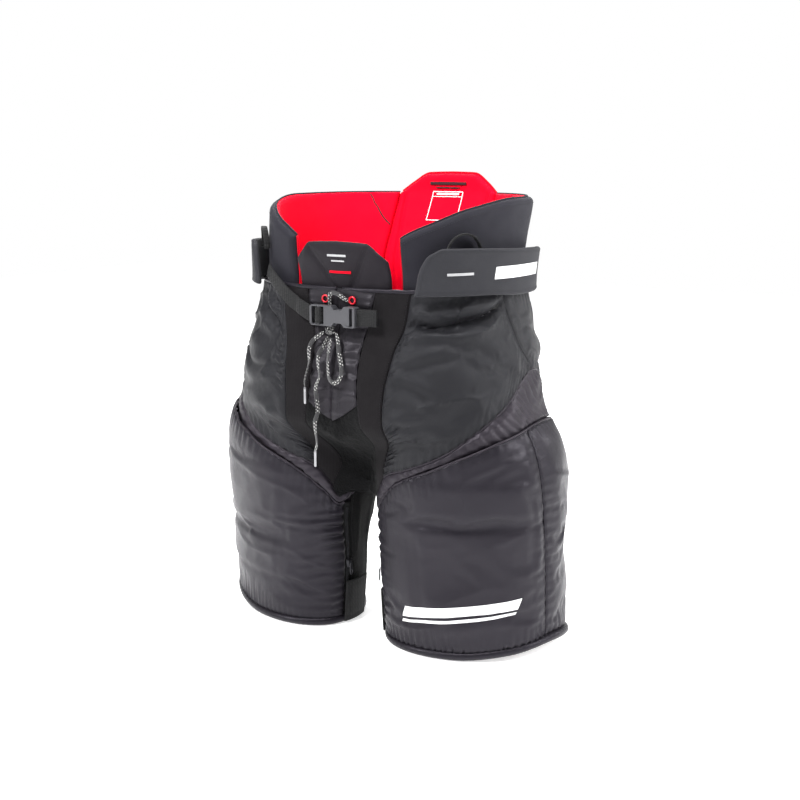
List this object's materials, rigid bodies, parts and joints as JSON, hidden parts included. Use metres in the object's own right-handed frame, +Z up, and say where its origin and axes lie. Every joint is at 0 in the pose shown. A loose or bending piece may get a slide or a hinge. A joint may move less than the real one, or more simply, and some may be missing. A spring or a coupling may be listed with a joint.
{
  "type": "ice hockey pants",
  "caption": "Padded ice hockey pants with extendable leg shells, raised kidney and spine collar, belly tongue, foam belt wings, drawstring fly and side-release belt buckle.",
  "frame": {"origin": "on the floor under the middle of the garment, between the two leg openings", "axes": "+X to the wearer's left, front towards -Y, +Z up along the standing height"},
  "size_m": [0.4908, 0.3177, 0.5791],
  "materials": {
    "shell_nylon": "plain-weave nylon, soft sheen",
    "matte_nylon": "matte woven nylon",
    "stretch_knit": "ribbed stretch knit",
    "mesh": "black knitted mesh",
    "pad_cover": "smooth brushed cover fabric",
    "liner": "red brushed lining",
    "foam": "closed-cell foam",
    "wing_foam": "foam laminated in soft fabric",
    "webbing": "woven polypropylene webbing",
    "buckle_plastic": "moulded acetal, satin",
    "guard_plastic": "moulded polyethylene plate",
    "zip_tape": "zip tape with coil teeth",
    "zip_metal": "painted die-cast zip metal",
    "lace": "flat braided lace with pale flecks",
    "aglet": "rolled metal tip",
    "eyelet_red": "red enamelled eyelet"
  },
  "bodies": {
    "root": {"fly_panel": "shell_nylon", "crotch_gusset": "mesh", "waistband": "webbing", "tailbone_guard": "guard_plastic", "spine_pad": "pad_cover", "spine_liner": "liner", "belly_pad": "pad_cover", "belt_short_strap": "webbing", "belt_long_strap": "webbing", "buckle_socket": "buckle_plastic", "lace_bridge": "lace", "lace_knot": "lace", "lace_bow": "lace", "left_lace": "lace", "right_lace": "lace", "left_aglet": "aglet", "right_aglet": "aglet", "left_extension_band": "shell_nylon", "right_extension_band": "shell_nylon", "left_hip_panel": "matte_nylon", "right_hip_panel": "matte_nylon", "left_seat_panel": "matte_nylon", "right_seat_panel": "matte_nylon", "left_stretch_strip": "stretch_knit", "right_stretch_strip": "stretch_knit", "left_hip_guard": "guard_plastic", "right_hip_guard": "guard_plastic", "left_kidney_pad": "pad_cover", "right_kidney_pad": "pad_cover", "left_kidney_liner": "liner", "right_kidney_liner": "liner", "left_side_loop": "webbing", "right_side_loop": "webbing", "left_eyelet": "eyelet_red", "right_eyelet": "eyelet_red"},
    "left_leg": {"left_thigh_panel": "shell_nylon", "left_thigh_guard": "guard_plastic", "left_thigh_foam": "foam", "left_rear_leg_panel": "shell_nylon", "left_inseam_panel": "mesh", "left_zip_tape": "zip_tape", "left_hem_binding": "shell_nylon"},
    "left_slider": {"left_zip_slider": "zip_metal"},
    "left_pull": {"left_zip_pull": "zip_metal"},
    "left_tab": {"left_hem_tab": "webbing"},
    "left_wing_flap": {"left_wing": "wing_foam"},
    "right_leg": {"right_thigh_panel": "shell_nylon", "right_thigh_guard": "guard_plastic", "right_thigh_foam": "foam", "right_rear_leg_panel": "shell_nylon", "right_inseam_panel": "mesh", "right_zip_tape": "zip_tape", "right_hem_binding": "shell_nylon"},
    "right_slider": {"right_zip_slider": "zip_metal"},
    "right_pull": {"right_zip_pull": "zip_metal"},
    "right_tab": {"right_hem_tab": "webbing"},
    "right_wing_flap": {"right_wing": "wing_foam"},
    "plug": {"buckle_plug": "buckle_plastic"},
    "upper_latch": {"upper_prong": "buckle_plastic"},
    "lower_latch": {"lower_prong": "buckle_plastic"}
  },
  "joints": [
    {"name": "left_leg_extension", "type": "slide", "parent": "root", "child": "left_leg", "axis": [0, 0, -1], "range_m": [0, 0.025], "deforming": ["left_extension_band"]},
    {"name": "left_zip_slide", "type": "slide", "parent": "left_leg", "child": "left_slider", "axis": [-0.054, -0.1086, 0.9926], "range_m": [0, 0.062]},
    {"name": "left_pull_hinge", "type": "hinge", "parent": "left_slider", "child": "left_pull", "pos_m": [0.02143, -0.08045, 0.08391], "axis": [-0.3221, 0.9467, 0], "range_deg": [0, 120]},
    {"name": "left_tab_hinge", "type": "hinge", "parent": "left_leg", "child": "left_tab", "pos_m": [0.0251, -0.04133, 0.032], "axis": [0, 0, -1], "range_deg": [0, 35]},
    {"name": "left_wing_hinge", "type": "hinge", "parent": "root", "child": "left_wing_flap", "pos_m": [0.161, 0.06164, 0.465], "axis": [0, 0, 1], "range_deg": [0, 20]},
    {"name": "right_leg_extension", "type": "slide", "parent": "root", "child": "right_leg", "axis": [0, 0, -1], "range_m": [0, 0.025], "deforming": ["right_extension_band"]},
    {"name": "right_zip_slide", "type": "slide", "parent": "right_leg", "child": "right_slider", "axis": [0.054, -0.1086, 0.9926], "range_m": [0, 0.062]},
    {"name": "right_pull_hinge", "type": "hinge", "parent": "right_slider", "child": "right_pull", "pos_m": [-0.02143, -0.08045, 0.08391], "axis": [-0.3221, -0.9467, 0], "range_deg": [0, 120]},
    {"name": "right_tab_hinge", "type": "hinge", "parent": "right_leg", "child": "right_tab", "pos_m": [-0.0251, -0.04133, 0.032], "axis": [0, 0, 1], "range_deg": [0, 35]},
    {"name": "right_wing_hinge", "type": "hinge", "parent": "root", "child": "right_wing_flap", "pos_m": [-0.161, 0.06164, 0.465], "axis": [0, 0, -1], "range_deg": [0, 20]},
    {"name": "plug_release", "type": "slide", "parent": "root", "child": "plug", "axis": [-1, 0, 0], "range_m": [0, 0.03], "deforming": ["belt_long_strap"]},
    {"name": "upper_prong_flex", "type": "hinge", "parent": "plug", "child": "upper_latch", "pos_m": [-0.0086, -0.14486, 0.4216], "axis": [0, 1, 0], "range_deg": [0, 7], "stiffness_Nm_per_rad": 0.02},
    {"name": "lower_prong_flex", "type": "hinge", "parent": "plug", "child": "lower_latch", "pos_m": [-0.0086, -0.14486, 0.4094], "axis": [0, -1, 0], "range_deg": [0, 7], "stiffness_Nm_per_rad": 0.02}
  ]
}
